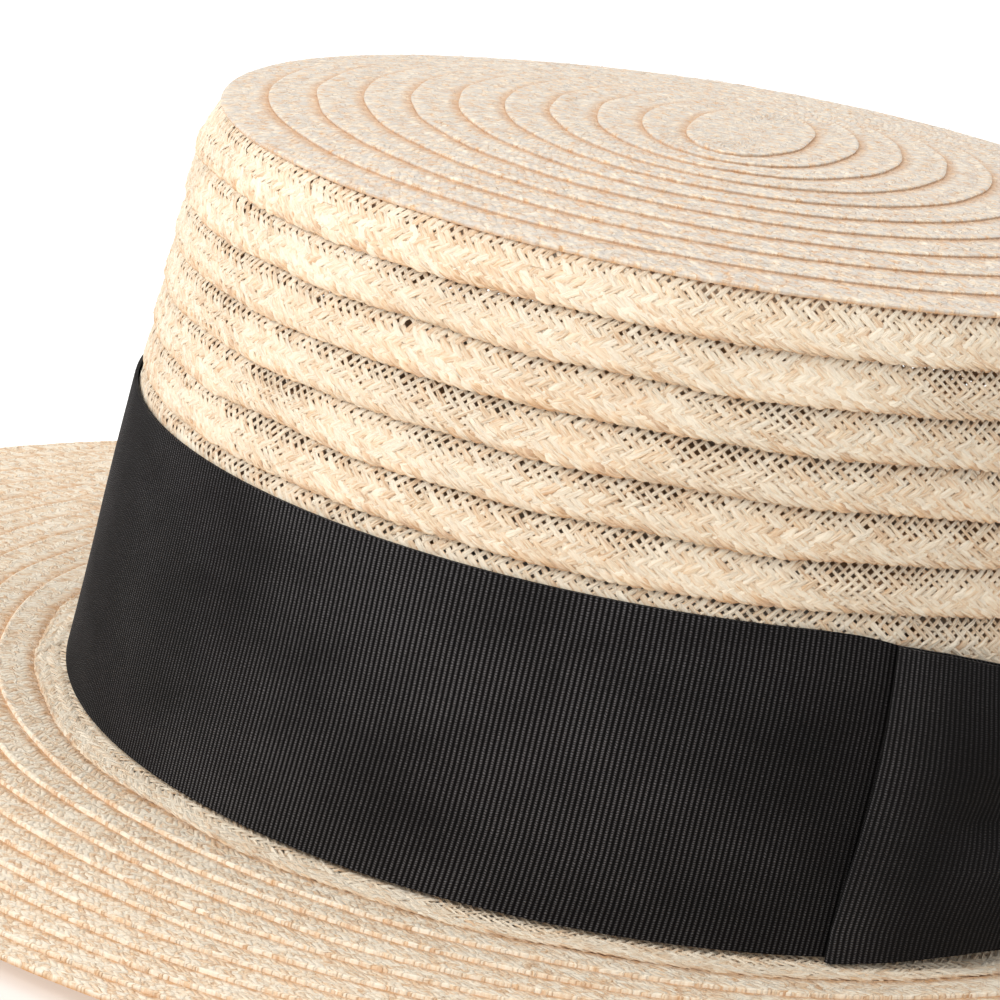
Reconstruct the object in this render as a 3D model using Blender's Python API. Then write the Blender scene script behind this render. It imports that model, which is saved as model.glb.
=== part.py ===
# A straw boater hat: a lapped braid crown and brim, a ribbon band and a flat bow.
# Metres, +Z up. The front of the hat faces -Y and the wearer's left is +X.
# The origin lies on the ground under the middle of the brim.
import math

import bmesh
import bpy
import numpy as np

# Driving sizes
HEAD_LENGTH = 0.1974      # inside the crown at its foot, front to back
HEAD_WIDTH = 0.1634       # inside the crown at its foot, side to side
CROWN_HEIGHT = 0.0936     # ground to the middle of the tip
TIP_DOME = 0.0066         # how far the tip falls from its middle to the shoulder
SIDE_TAPER = 0.0070       # how far the side leans in from foot to shoulder
BRIM_WIDTH = 0.0631       # foot of the crown to the brim's edge
STRAW = 0.0011            # one thickness of braid
LAP = 0.0009              # how far a row's edge stands over the next row
SIDE_ROW = 0.0064         # pitch of the rows on the side
TIP_ROW = 0.0067          # pitch of the rows on the tip
BRIM_ROW = 0.0056         # pitch of the rows on the brim
BRIM_THICKNESS = 0.0028   # brim at a row's edge
BRIM_ROOT = 0.0038        # top of the brim where the crown stands on it
ROOT_BEND = 0.0060        # width of the slope from the root down to the brim
EDGE_ROUND = 0.0007       # round at the brim's outer edge and inner lip
TIP_CORE = 0.0018         # half width of the middle row of the tip
TIP_POWER = 2.25          # how late the tip starts to fall
SIDE_INSIDE_TOP = 0.97    # where the inside of the side ends, as a share of its height
TIP_INSIDE_EDGE = 0.93    # where the inside of the tip starts, as a share of its half width
TIP_INSIDE_CORE = 0.10    # its innermost ring, as a share of the same
RIBBON = 0.0010           # ribbon thickness
BAND_HEIGHT = 0.0421      # ribbon width round the crown
BOW_PLACE = 0.0950        # along the band from the front to the knot's middle
BOW_HALF = 0.0500         # knot's middle to the fold of a loop
BOW_HEIGHT = 0.0408       # height of a loop at its fold
BOW_PUFF = 0.0020         # how far a loop's face swells
CREASE = 0.0012           # depth of the crease that runs out of the knot
CREASE_PLACE = 0.47       # height of the crease, as a share of the loop's height
CREASE_SPREAD = 0.16      # half width of the crease, as a share of the same
PUFF_EDGE = 0.08          # share of the swell's half wave cut off at each edge of a loop
LOOP_SPACE = 0.0006       # room between a loop's two layers at its fold
KNOT_WIDTH = 0.0180       # strip over the middle of the bow
KNOT_CROWN = 0.0012       # how far the knot's face is rounded
GAP = 0.0003              # between pieces that touch
SEGMENTS = 48             # sides of each oval

# Shape of a loop from the knot's side to its fold: shares of the length that shows,
# of the bow's height, and of the puff
LOOP_SHAPE = [
    dict(along=0.00, height=0.78, puff=0.00),
    dict(along=0.14, height=0.84, puff=0.55),
    dict(along=0.34, height=0.92, puff=1.00),
    dict(along=0.56, height=0.98, puff=0.80),
    dict(along=0.80, height=1.00, puff=0.35),
    dict(along=0.97, height=1.00, puff=0.00),
]

# Lean of the fold: height as a share of the loop, reach as a share of the half length
FOLD_LEAN = [
    dict(height=0.00, reach=1.045),
    dict(height=0.20, reach=1.032),
    dict(height=0.40, reach=1.005),
    dict(height=0.60, reach=0.980),
    dict(height=0.80, reach=0.972),
    dict(height=1.00, reach=0.972),
]

# Sizes that follow
wall = STRAW + LAP
half_width = HEAD_WIDTH / 2 + wall
half_length = HEAD_LENGTH / 2 + wall
foot = BRIM_ROOT + GAP
shoulder = CROWN_HEIGHT - TIP_DOME
lean = SIDE_TAPER / (shoulder - foot)
step_drop = LAP / 3


def column(table, name):
    return np.array([row[name] for row in table])


def oval(inset, z, segments):
    """One ring round the hat: an ellipse whose two half axes are less by inset."""
    turn = np.linspace(0, 2 * math.pi, segments, endpoint=False)
    x = (half_width - inset) * np.cos(turn)
    y = (half_length - inset) * np.sin(turn)
    return np.stack([x, y, np.full(segments, z)], axis=1)


def side_inset(z):
    """How far the line through the side's row edges has leaned in at height z."""
    return lean * (z - foot)


def tip_height(inset):
    """Height of the line through the tip's row edges: a dome that falls to the shoulder."""
    share = (half_width - inset) / (half_width - SIDE_TAPER)
    return CROWN_HEIGHT - TIP_DOME * np.abs(share) ** TIP_POWER


def add_piece(name, points, faces, material):
    """Make one closed object from points and faces, with its faces turned outwards."""
    mesh = bpy.data.meshes.new(name)
    mesh.from_pydata([tuple(p) for p in points], [], faces)
    work = bmesh.new()
    work.from_mesh(mesh)
    bmesh.ops.recalc_face_normals(work, faces=work.faces)
    work.to_mesh(mesh)
    work.free()
    mesh.shade_smooth()
    mesh.set_sharp_from_angle(angle=math.radians(35))
    piece = bpy.data.objects.new(name, mesh)
    bpy.context.scene.collection.objects.link(piece)
    mesh.materials.append(material)
    return piece


def make_material(name, color, roughness):
    material = bpy.data.materials.new(name)
    material.use_nodes = True
    shader = material.node_tree.nodes["Principled BSDF"]
    shader.inputs["Base Color"].default_value = (*color, 1.0)
    shader.inputs["Roughness"].default_value = roughness
    shader.inputs["Metallic"].default_value = 0.0
    return material


def oval_wall(name, profile, material, closed):
    """Carry a profile of (inset, z) round the hat. A closed profile makes a ring;
    an open one starts and ends in the middle, where each end closes on one point."""
    rings = [oval(inset, z, SEGMENTS) for inset, z in profile]
    points = np.concatenate(rings)
    faces = []
    last = len(profile) if closed else len(profile) - 1
    for i in range(last):
        a = i * SEGMENTS
        b = (i + 1) % len(profile) * SEGMENTS
        for j in range(SEGMENTS):
            k = (j + 1) % SEGMENTS
            faces.append((a + j, a + k, b + k, b + j))
    if not closed:
        for start in (0, (len(profile) - 1) * SEGMENTS):
            middle = len(points)
            points = np.concatenate([points, [[0, 0, points[start][2]]]])
            for j in range(SEGMENTS):
                faces.append((start + j, start + (j + 1) % SEGMENTS, middle))
    return add_piece(name, points, faces, material)


def sheet_solid(name, outer, inner, material):
    """Close two grids of points, the faces of a bent ribbon, into one solid."""
    rows, columns = outer.shape[:2]
    points = np.concatenate([outer.reshape(-1, 3), inner.reshape(-1, 3)])
    back = rows * columns
    faces = []
    for i in range(rows - 1):
        for j in range(columns - 1):
            a = i * columns + j
            quad = (a, a + 1, a + columns + 1, a + columns)
            faces.append(quad)
            faces.append(tuple(back + q for q in reversed(quad)))
    edge = list(range(columns))
    edge += [i * columns + columns - 1 for i in range(1, rows)]
    edge += [(rows - 1) * columns + j for j in range(columns - 2, -1, -1)]
    edge += [i * columns for i in range(rows - 2, 0, -1)]
    for a, b in zip(edge, edge[1:] + edge[:1]):
        faces.append((b, a, back + a, back + b))
    return add_piece(name, points, faces, material)


def crown_profile():
    """Outside of the crown from the tip's middle to its foot, then the inside back up.
    Each row ends in an edge that stands LAP over the start of the next."""
    tip_span = half_width - SIDE_TAPER - TIP_CORE
    tip_rows = max(2, round(tip_span / TIP_ROW))
    side_rows = max(2, round((shoulder - foot) / SIDE_ROW))
    profile = []
    for row in range(tip_rows):
        inset = half_width - TIP_CORE - tip_span * row / tip_rows
        profile.append((inset, tip_height(inset)))
        profile.append((inset - step_drop, tip_height(inset) - LAP))
    for row in range(side_rows):
        z = shoulder - (shoulder - foot) * row / side_rows
        profile.append((side_inset(z), z))
        profile.append((side_inset(z) + LAP, z - step_drop))
    profile.append((0.0, foot))
    for share in np.linspace(0, SIDE_INSIDE_TOP, 5):
        z = foot + (shoulder - foot) * share
        profile.append((wall + side_inset(z), z))
    for share in np.linspace(TIP_INSIDE_EDGE, TIP_INSIDE_CORE, 6):
        inset = half_width - (half_width - SIDE_TAPER) * share
        profile.append((inset, tip_height(inset) - wall))
    return profile


def brim_profile():
    """Top of the brim from the root out over the rows, then the flat underside."""
    rows = max(2, round((BRIM_WIDTH - ROOT_BEND) / BRIM_ROW))
    low = BRIM_THICKNESS - LAP
    profile = [(wall, BRIM_ROOT), (-RIBBON - 2 * GAP, BRIM_ROOT)]
    for row in range(rows):
        out = ROOT_BEND + (BRIM_WIDTH - ROOT_BEND) * row / rows
        profile.append((-out, BRIM_THICKNESS))
        profile.append((-out - step_drop, low))
    profile.append((-BRIM_WIDTH + EDGE_ROUND, BRIM_THICKNESS))
    profile.append((-BRIM_WIDTH, BRIM_THICKNESS - EDGE_ROUND))
    profile.append((-BRIM_WIDTH, EDGE_ROUND))
    profile.append((-BRIM_WIDTH + EDGE_ROUND, 0.0))
    profile.append((-BRIM_WIDTH / 2, 0.0))
    profile.append((wall - 2 * EDGE_ROUND, 0.0))
    profile.append((wall, 2 * EDGE_ROUND))
    return profile


def band_profile():
    """The ribbon round the crown: it lies GAP outside the line of the row edges."""
    outside = []
    inside = []
    for share in (0.0, 0.5, 1.0):
        z = foot + BAND_HEIGHT * share
        inside.append((side_inset(z) - GAP, z))
        outside.append((side_inset(z) - GAP - RIBBON, z))
    return inside + outside[::-1]


def along_band(distance):
    """Turn angle at a distance round the foot of the band from the middle of the front."""
    turn = np.linspace(-math.pi / 2, 3 * math.pi / 2, 2881)
    x = (half_width + GAP + RIBBON) * np.cos(turn)
    y = (half_length + GAP + RIBBON) * np.sin(turn)
    run = np.concatenate([[0], np.cumsum(np.hypot(np.diff(x), np.diff(y)))])
    return np.interp(distance, run, turn)


def on_band(distance, out, z):
    """Points at a distance round the band, out from its face, at height z."""
    turn = along_band(distance)
    grow = GAP + RIBBON + out - side_inset(z)
    x = (half_width + grow) * np.cos(turn)
    y = (half_length + grow) * np.sin(turn)
    return np.stack([x, y, z + 0 * x], axis=-1)


bow_middle = foot + BAND_HEIGHT / 2
layer_back = GAP
layer_front = GAP + 2 * RIBBON + LOOP_SPACE


def bow_loop(name, side, material):
    """A ribbon folded back on itself. A path runs along the front layer to the fold and
    back behind; each height up the loop gets the same path, scaled to the fold's lean."""
    up = np.linspace(0, 1, 7)
    knot_side = KNOT_WIDTH / 2 + GAP
    along = column(LOOP_SHAPE, "along")
    height = column(LOOP_SHAPE, "height")
    puff = column(LOOP_SHAPE, "puff")
    reach = np.interp(up, column(FOLD_LEAN, "height"), column(FOLD_LEAN, "reach"))
    free = BOW_HALF * reach - knot_side
    crease = CREASE * np.exp(-((up - CREASE_PLACE) / CREASE_SPREAD) ** 2)
    swell = np.sin(math.pi * (PUFF_EDGE + (1 - 2 * PUFF_EDGE) * up))

    outer = []
    inner = []
    fold_middle = (layer_back + layer_front) / 2
    tucked = GAP * 2 + 0 * up
    # front layer: its face swells and is creased, and its back is one ribbon behind
    outer.append((tucked, height[0], layer_front + 0 * up))
    inner.append((tucked, height[0], layer_front - RIBBON + 0 * up))
    for a, h, p in zip(along, height, puff):
        face = layer_front + BOW_PUFF * p * swell - crease * p * (1 - a)
        outer.append((knot_side + free * a, h, face))
        inner.append((knot_side + free * a, h, face - RIBBON))
    # the fold
    outer.append((knot_side + free, height[-1], fold_middle + 0 * up))
    inner.append((knot_side + free - RIBBON, height[-1], fold_middle + 0 * up))
    # back layer, against the band
    for a, h in zip(along[::-1], height[::-1]):
        outer.append((knot_side + free * a, h, layer_back + 0 * up))
        inner.append((knot_side + free * a, h, layer_back + RIBBON + 0 * up))
    outer.append((tucked, height[0], layer_back + 0 * up))
    inner.append((tucked, height[0], layer_back + RIBBON + 0 * up))

    def grid(path):
        rows = []
        for distance, h, out in path:
            z = bow_middle + BOW_HEIGHT * h * (up - 0.5)
            rows.append(on_band(BOW_PLACE + side * distance, out, z))
        return np.array(rows)

    return sheet_solid(name, grid(outer), grid(inner), material)


def bow_knot(name, material):
    """A strip that comes off the band over the loops' top edges, down their front and
    back to the band below: a path of (out, z) carried along the band."""
    inside_half = BOW_HEIGHT * LOOP_SHAPE[0]["height"] / 2 + GAP
    outside_half = inside_half + RIBBON
    inside_face = layer_front + GAP
    outside_face = inside_face + RIBBON
    bend = RIBBON
    outer = [(GAP, outside_half), (outside_face - bend, outside_half),
             (outside_face, outside_half - bend)]
    inner = [(GAP, inside_half), (inside_face - bend / 2, inside_half),
             (inside_face, inside_half - bend / 2)]
    for share in (0.5, 0.0, -0.5):
        outer.append((outside_face, outside_half * share))
        inner.append((inside_face, inside_half * share))
    outer += [(n, -z) for n, z in outer[2::-1]]
    inner += [(n, -z) for n, z in inner[2::-1]]
    across = np.linspace(-1, 1, 7)

    def grid(path, crown):
        rows = []
        for index, (out, z) in enumerate(path):
            face = 2 <= index <= len(path) - 3
            rise = crown * (1 - across ** 2) if face else 0 * across
            distance = BOW_PLACE + KNOT_WIDTH / 2 * across
            rows.append(on_band(distance, out + rise, bow_middle + z + 0 * across))
        return np.array(rows)

    return sheet_solid(name, grid(outer, KNOT_CROWN), grid(inner, KNOT_CROWN), material)


def build():
    for old in list(bpy.data.objects):
        bpy.data.objects.remove(old, do_unlink=True)
    straw = make_material("straw", (0.80, 0.66, 0.45), 0.72)
    ribbon = make_material("ribbon", (0.022, 0.020, 0.021), 0.68)
    oval_wall("crown", crown_profile(), straw, closed=False)
    oval_wall("brim", brim_profile(), straw, closed=True)
    oval_wall("hat_band", band_profile(), ribbon, closed=True)
    bow_loop("bow_loop_front", -1, ribbon)
    bow_loop("bow_loop_rear", 1, ribbon)
    bow_knot("bow_knot", ribbon)


build()
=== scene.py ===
# Straw boater: sewn braid rows, ribbon and bow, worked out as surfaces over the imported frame.
# Metres. A row of braid has its own coordinates: share of the way round the hat, v across the
# row towards its free edge, and h out of its face.
import math

import bpy
import numpy as np
from mathutils import Matrix, Vector


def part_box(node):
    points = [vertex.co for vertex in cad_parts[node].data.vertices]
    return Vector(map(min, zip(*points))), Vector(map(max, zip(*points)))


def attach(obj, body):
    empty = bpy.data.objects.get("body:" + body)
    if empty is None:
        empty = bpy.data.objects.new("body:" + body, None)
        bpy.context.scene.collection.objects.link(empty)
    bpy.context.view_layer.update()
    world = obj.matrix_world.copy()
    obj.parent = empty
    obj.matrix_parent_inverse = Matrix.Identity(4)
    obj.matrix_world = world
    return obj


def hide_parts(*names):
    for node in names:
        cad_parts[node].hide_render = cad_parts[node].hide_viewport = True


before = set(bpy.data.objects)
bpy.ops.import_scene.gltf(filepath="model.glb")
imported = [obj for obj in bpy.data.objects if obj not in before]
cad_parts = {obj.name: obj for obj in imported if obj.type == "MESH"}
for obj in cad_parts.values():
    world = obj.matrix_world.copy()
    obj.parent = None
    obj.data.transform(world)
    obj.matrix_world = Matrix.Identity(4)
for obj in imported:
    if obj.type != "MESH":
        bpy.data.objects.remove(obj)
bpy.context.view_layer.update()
mm = 0.001

crownLow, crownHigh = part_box("crown")
brimLow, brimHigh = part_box("brim")
bandLow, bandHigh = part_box("hat_band")

# The oval that everything is carried round. Its ends and heights are read from the frame.
hat = dict(
    halfWidth=crownHigh[0],
    halfLength=crownHigh[1],
    foot=crownLow[2],
    top=crownHigh[2],
    tipDome=6.6 * mm,        # fall of the tip from its middle to the shoulder
    tipPower=2.25,           # how late the tip starts to fall
    sideTaper=7.0 * mm,      # lean of the side from foot to shoulder
    tipCore=1.8 * mm,        # half width of the middle row of the tip
    sideRow=6.4 * mm,
    tipRow=6.7 * mm,
    brimRow=5.6 * mm,
    sideLap=0.9 * mm,        # step from a side row's edge in to the next row
    tipLap=0.26 * mm,        # the same on the tip
    brimLap=0.36 * mm,       # and on the brim
    brimThickness=2.8 * mm,
    brimClear=0.30 * mm,     # from the ground to the underside of its rows
    brimInset=1.0 * mm,      # the rounded edge row ends this far inside the solid's edge
    rootRow=5.0 * mm,        # width of the sloping row at the root
    rootFall=0.35 * mm,      # how far below the solid's root it starts
    shoulderInset=1.8 * mm,  # the first row of the side leans in by this much more
)
hat["shoulder"] = hat["top"] - hat["tipDome"]
hat["brimWidth"] = brimHigh[0] - hat["halfWidth"] - hat["brimInset"]
hat["lean"] = hat["sideTaper"] / (hat["shoulder"] - hat["foot"])


# Distance from the foot's oval to the line through the side's row edges: a straight lean.
def sideOut(z):
    return -hat["lean"] * (z - hat["foot"])


# Height of the line through the tip's row edges: top less dome times a power of the radius.
def tipHeight(out):
    share = (hat["halfWidth"] + out) / (hat["halfWidth"] - hat["sideTaper"])
    return hat["top"] - hat["tipDome"] * np.abs(share) ** hat["tipPower"]


# Points on the oval out from the foot's oval: x and y are its half axes times cosine and sine.
def ovalPoint(turn, out, z):
    x = (hat["halfWidth"] + out) * np.cos(turn)
    y = (hat["halfLength"] + out) * np.sin(turn)
    return np.stack([x, y, z + 0 * x], axis=-1)


# Turn angle at a share of the way round an oval by true length, and the oval's length.
def ovalTurn(share, out):
    turn = np.linspace(0, 2 * math.pi, 1441)
    step = np.diff(ovalPoint(turn, out, 0.0), axis=0)
    run = np.concatenate([[0], np.cumsum(np.linalg.norm(step, axis=1))])
    return np.interp(np.mod(share, 1) * run[-1], run, turn), run[-1]


# A table as a list with a dictionary for each row, from its column names and its rows.
def makeTable(columns, rows):
    return [dict(zip(columns.split(), row)) for row in rows]


# Row numbers: the tip counts from 0, the side from 20 and the brim from 40.
edgeWander = dict(
    side=0.10 * mm,
    tip=0.07 * mm,
    brim=0.17 * mm,
    slowest=3,           # waves round the hat
    fastest=22,          # fewer on the small rows in the middle of the tip
    waves=4,
)


# Wander of a sewn row edge: a sum of sines with whole numbers of waves round the hat.
def edgeWave(index, share):
    pick = np.random.default_rng(100 + index)
    part = "tip" if index < 20 else "side" if index < 40 else "brim"
    fastest = min(edgeWander["fastest"], 5 + 2 * index)
    number = pick.integers(edgeWander["slowest"], fastest, edgeWander["waves"])
    start = pick.random(edgeWander["waves"])
    height = edgeWander[part] * pick.uniform(0.5, 1.3, edgeWander["waves"])
    return sum(a * np.sin(2 * math.pi * (n * share + s)) for a, n, s in zip(height, number, start))


# A row lies on a straight line in (out, z) from under the edge above it to its own edge.
def makeRow(start, edge, index):
    start = np.array(start)
    along = np.array(edge) - start
    width = np.hypot(*along)
    along = along / width
    return dict(start=start, along=along, face=np.array([-along[1], along[0]]), width=width,
                index=index, rim=edge[0], length=ovalTurn(0.0, edge[0])[1])


# Points on a row and the direction out of its face, for whole arrays of share, v and h.
def rowPlace(row, share, v, h):
    across = np.clip(v / row["width"], -0.6, 1.1)
    upper = edgeWave(row["index"], share) if row["index"] else 0 * share
    lower = edgeWave(row["index"] + 1, share)
    v = v + upper * (1 - across) + lower * across
    out = row["start"][0] + row["along"][0] * v + row["face"][0] * h
    z = row["start"][1] + row["along"][1] * v + row["face"][1] * h
    turn = ovalTurn(share, row["rim"])[0]
    ex = np.cos(turn) / (hat["halfWidth"] + row["rim"])
    ey = np.sin(turn) / (hat["halfLength"] + row["rim"])
    size = np.hypot(ex, ey)
    level = row["face"][0] / size
    up = np.stack([level * ex, level * ey, row["face"][1] + 0 * ex], axis=-1)
    return ovalPoint(turn, out, z), up


# Grids of points gathered into one closed mesh with a UV map in millimetres. A quad whose
# first two corners are the same stands for a triangle.
class Shell:

    def __init__(self):
        self.points = []
        self.faces = []
        self.uvs = []
        self.count = 0

    # points is (grids, rows, columns, 3) and uvs is (grids, rows + 1, columns + 1, 2)
    def addGrids(self, points, uvs, closeRows=False, closeColumns=False, caps=False, edges=False):
        grids, rows, columns = points.shape[:3]
        r = np.arange(rows if closeRows else rows - 1)
        c = np.arange(columns if closeColumns else columns - 1)
        r, c = (a.ravel() for a in np.meshgrid(r, c, indexing="ij"))
        wide = columns + 1
        quads = [[r * columns + c, r * columns + (c + 1) % columns,
                  (r + 1) % rows * columns + (c + 1) % columns, (r + 1) % rows * columns + c]]
        corners = [[r * wide + c, r * wide + c + 1, (r + 1) * wide + c + 1, (r + 1) * wide + c]]
        if caps:      # the ends of a three-sided tube
            for end, order in ((0, (0, 0, 2, 1)), (rows - 1, (0, 0, 1, 2))):
                quads.append([np.array([end * columns + k]) for k in order])
                corners.append([np.array([end * wide + k]) for k in order])
        if edges:     # the long edges of a sheet whose rows run out on one face and back on the other
            near = np.arange(rows // 2 - 1)
            far = rows - 1 - near
            for column, order in ((0, (near, near + 1, far - 1, far)),
                                  (columns - 1, (near + 1, near, far, far - 1))):
                quads.append([k * columns + column for k in order])
                corners.append([k * wide + column for k in order])
        quads = np.concatenate([np.stack(q, axis=1) for q in quads])
        corners = np.concatenate([np.stack(q, axis=1) for q in corners])
        offset = self.count + np.arange(grids)[:, None, None] * rows * columns
        self.faces.append((quads[None] + offset).reshape(-1, 4))
        self.uvs.append(uvs.reshape(grids, -1, 2)[:, corners].reshape(-1, 4, 2))
        self.points.append(points.reshape(-1, 3))
        self.count += grids * rows * columns

    # Turns the faces outwards by the sign of the volume and makes the object.
    def finish(self, name, material, sharp=62):
        points = np.concatenate(self.points)
        faces = np.concatenate(self.faces)
        uvs = np.concatenate(self.uvs)
        a, b, c, d = (points[faces[:, k]] for k in range(4))
        volume = (a * np.cross(b, c)).sum() + (a * np.cross(c, d)).sum()
        if volume < 0:
            faces = faces[:, [1, 0, 3, 2]]
            uvs = uvs[:, [1, 0, 3, 2]]
        keep = np.ones(faces.shape, bool)
        keep[faces[:, 0] == faces[:, 1], 0] = False
        size = keep.sum(axis=1)
        mesh = bpy.data.meshes.new(name)
        mesh.vertices.add(len(points))
        mesh.vertices.foreach_set("co", points.astype(np.float32).ravel())
        mesh.loops.add(int(size.sum()))
        mesh.loops.foreach_set("vertex_index", faces[keep].astype(np.int32))
        mesh.polygons.add(len(faces))
        mesh.polygons.foreach_set("loop_start", (np.cumsum(size) - size).astype(np.int32))
        mesh.update(calc_edges=True)
        mesh.uv_layers.new(name="weave").data.foreach_set("uv", uvs[keep].astype(np.float32).ravel())
        mesh.shade_smooth()
        mesh.set_sharp_from_angle(angle=math.radians(sharp))
        mesh.validate()
        piece = bpy.data.objects.new(name, mesh)
        bpy.context.scene.collection.objects.link(piece)
        mesh.materials.append(material)
        print(f"{name}: {int((size - 2).sum())} triangles")
        return piece


# Every piece rides on the one body and stands for a CAD node.
def dress(piece, node):
    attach(piece, "root")
    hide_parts(node)
    return piece


# Materials: short calls for their nodes, where a value may be a number or another node's socket.
class Nodes:

    def __init__(self, name):
        self.material = bpy.data.materials.new(name)
        self.material.use_nodes = True
        self.tree = self.material.node_tree
        self.shader = self.tree.nodes["Principled BSDF"]

    def wire(self, value, socket):
        if isinstance(value, bpy.types.NodeSocket):
            self.tree.links.new(value, socket)
        else:
            socket.default_value = value

    def add(self, kind, output=0, inputs=None, **settings):
        node = self.tree.nodes.new(kind)
        for key, value in settings.items():
            setattr(node, key, value)
        for key, value in (inputs or {}).items():
            self.wire(value, node.inputs[key])
        return node.outputs[output]

    def calc(self, operation, a, b=0.0, clamp=False):
        return self.add("ShaderNodeMath", inputs={0: a, 1: b}, operation=operation, use_clamp=clamp)

    def smooth(self, value, low, high):
        return self.add("ShaderNodeMapRange", inputs={"Value": value, "From Min": low, "From Max": high},
                        interpolation_type="SMOOTHSTEP")

    # Noise spread over the whole range from zero to one
    def noise(self, vector, scale, detail=3.0, rough=0.55):
        inputs = {"Vector": vector, "Scale": scale, "Detail": detail, "Roughness": rough}
        plain = self.add("ShaderNodeTexNoise", inputs=inputs)
        return self.add("ShaderNodeMapRange", inputs={"Value": plain, "From Min": 0.3, "From Max": 0.7})

    def random(self, value):
        return self.add("ShaderNodeTexWhiteNoise", inputs={"W": value}, noise_dimensions="1D")

    def stretch(self, vector, size):
        return self.add("ShaderNodeMapping", inputs={"Vector": vector, "Scale": size})

    def weaveMap(self):
        uv = self.add("ShaderNodeUVMap", uv_map="weave")
        split = self.tree.nodes.new("ShaderNodeSeparateXYZ")
        self.wire(uv, split.inputs[0])
        return uv, split.outputs[0], split.outputs[1]

    def weighted(self, *pairs):
        total = 0.0
        for value, weight in pairs:
            total = self.calc("ADD", self.calc("MULTIPLY", value, weight), total)
        return self.calc("ADD", total, 0.0, clamp=True)

    def ramp(self, value, stops):
        node = self.tree.nodes.new("ShaderNodeValToRGB")
        self.wire(value, node.inputs[0])
        for index, (place, color) in enumerate(stops):
            if index > 1:
                node.color_ramp.elements.new(place)
            node.color_ramp.elements[index].position = place
            node.color_ramp.elements[index].color = (*color, 1)
        return node.outputs[0]

    def mix(self, factor, a, b):
        node = self.tree.nodes.new("ShaderNodeMix")
        node.data_type = "RGBA"
        self.wire(factor, node.inputs[0])
        self.wire(a if isinstance(a, bpy.types.NodeSocket) else (*a, 1), node.inputs[6])
        self.wire(b if isinstance(b, bpy.types.NodeSocket) else (*b, 1), node.inputs[7])
        return node.outputs[2]

    def bump(self, height, distance):
        inputs = {"Height": height, "Distance": distance, "Strength": 1.0}
        return self.add("ShaderNodeBump", inputs=inputs)

    def done(self, color, roughness, normal, **fixed):
        self.wire(color, self.shader.inputs["Base Color"])
        self.wire(roughness, self.shader.inputs["Roughness"])
        self.wire(normal, self.shader.inputs["Normal"])
        for key, value in fixed.items():
            self.shader.inputs[key.replace("_", " ")].default_value = value
        return self.material


strawColors = dict(
    pale=(0.98, 0.86, 0.68),
    cream=(0.91, 0.73, 0.52),
    tan=(0.81, 0.55, 0.32),
    orange=(0.63, 0.34, 0.15),
    gray=(0.77, 0.69, 0.60),
    # Ash: a darker grey mixed into the tip's braid, partly dust and partly painted shade.
    ash=(0.65, 0.585, 0.51),
)
strawTones = [(0.22, strawColors["pale"]), (0.50, strawColors["cream"]),
              (0.74, strawColors["tan"]), (0.95, strawColors["orange"])]


# Each strand has a length of the UV map to itself, in millimetres, with the strand's turn at
# the row's edge in its middle, and a width of two. Its face runs from 0.3 to 1.1 across that.
strandMap = dict(length=31.7, width=2.0, start=0.3, step=0.4)


# Split straw: fibres run along each strand, every strand has its own tone, its edges are darker
# as painted shade between strands, and the turns at a row's edge are darker orange-brown, partly
# the straw's own colour and partly painted shade.
def strandFinish():
    n = Nodes("straw_strand")
    uv, along, across = n.weaveMap()
    own = n.random(n.calc("FLOOR", n.calc("DIVIDE", across, strandMap["width"])))
    fibre = n.noise(n.stretch(uv, (0.36, 3.6, 1.0)), 1.0, 3.0, 0.65)
    blotch = n.noise(n.stretch(uv, (0.30, 0.8, 1.0)), 1.0, 2.0)
    middle = strandMap["start"] + strandMap["step"]
    side = n.calc("ABSOLUTE", n.calc("SUBTRACT", n.calc("MODULO", across, strandMap["width"]), middle))
    # Painted shade between strands: each strand's borders are darker.
    rim = n.smooth(side, 0.20, 0.42)
    # At the turns along a row's edge: orange-brown, partly the straw's own colour and partly painted shade.
    edge = n.calc("SUBTRACT", n.calc("MODULO", along, strandMap["length"]), strandMap["length"] / 2)
    edge = n.calc("SUBTRACT", 1.0, n.smooth(n.calc("ABSOLUTE", edge), 0.4, 1.9))
    tone = n.weighted((own, 0.38), (blotch, 0.28), (fibre, 0.60), (rim, 0.22), (edge, 0.19), (-0.21, 1.0))
    color = n.ramp(tone, strawTones)
    color = n.mix(n.calc("MULTIPLY", blotch, 0.28), color, strawColors["gray"])
    rough = n.calc("ADD", n.calc("MULTIPLY", fibre, 0.2), 0.45)
    return n.done(color, rough, n.bump(fibre, 0.18 * mm), Specular_IOR_Level=0.35,
                  Sheen_Weight=0.12, Sheen_Roughness=0.5)


# Dense braid: strands cross at a slant, over two and under two, with fibres along each one.
# The step below an edge is painted brown as shade, and the edge itself is a cord painted pale as a
# highlight.
braidPattern = dict(
    along=1.20,          # mm from strand to strand along the row
    across=1.36,         # and across it
    wander=1.7,          # mm that strands stray from a straight line
    straw=6.0,           # crossings after which a strand goes on with another straw
    stepShadeStart=0.10,      # mm across the row where the shade starts to fade
    stepShadeEnd=2.2,
)
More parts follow.
